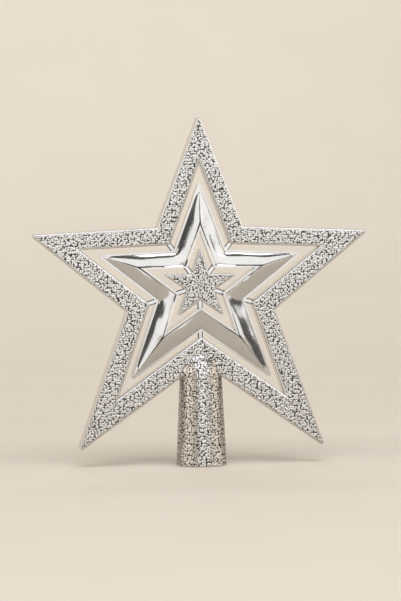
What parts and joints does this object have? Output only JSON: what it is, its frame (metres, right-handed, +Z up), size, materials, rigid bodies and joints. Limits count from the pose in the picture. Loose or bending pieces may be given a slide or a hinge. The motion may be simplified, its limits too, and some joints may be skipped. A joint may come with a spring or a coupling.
{
  "type": "christmas tree topper star",
  "caption": "Silver tree topper: nested five-point stars, grained outer frame and centre, mirror bright ring between them, on a tapered socket that slips over the tree's top shoot.",
  "frame": {"origin": "centre of the socket's mouth, on the plane that the topper stands on", "axes": "+Z up along the socket's axis, the star's front faces -Y, +X to the star's right seen from the front"},
  "size_m": [0.1908, 0.0288, 0.199],
  "materials": {
    "grained_silver": "metallised, pebble grained",
    "mirror_silver": "metallised, mirror bright"
  },
  "bodies": {
    "root": {"frame_front_shell": "grained_silver", "frame_rear_shell": "grained_silver", "socket_tube": "grained_silver", "centre_star_front": "grained_silver", "centre_star_rear": "grained_silver", "middle_star_front": "mirror_silver", "middle_star_rear": "mirror_silver", "outer_bar_upper_right": "mirror_silver", "outer_bar_lower_right": "mirror_silver", "outer_bar_bottom": "mirror_silver", "outer_bar_lower_left": "mirror_silver", "outer_bar_upper_left": "mirror_silver", "inner_bar_upper_right": "mirror_silver", "inner_bar_lower_right": "mirror_silver", "inner_bar_bottom": "mirror_silver", "inner_bar_lower_left": "mirror_silver", "inner_bar_upper_left": "mirror_silver"}
  },
  "joints": []
}
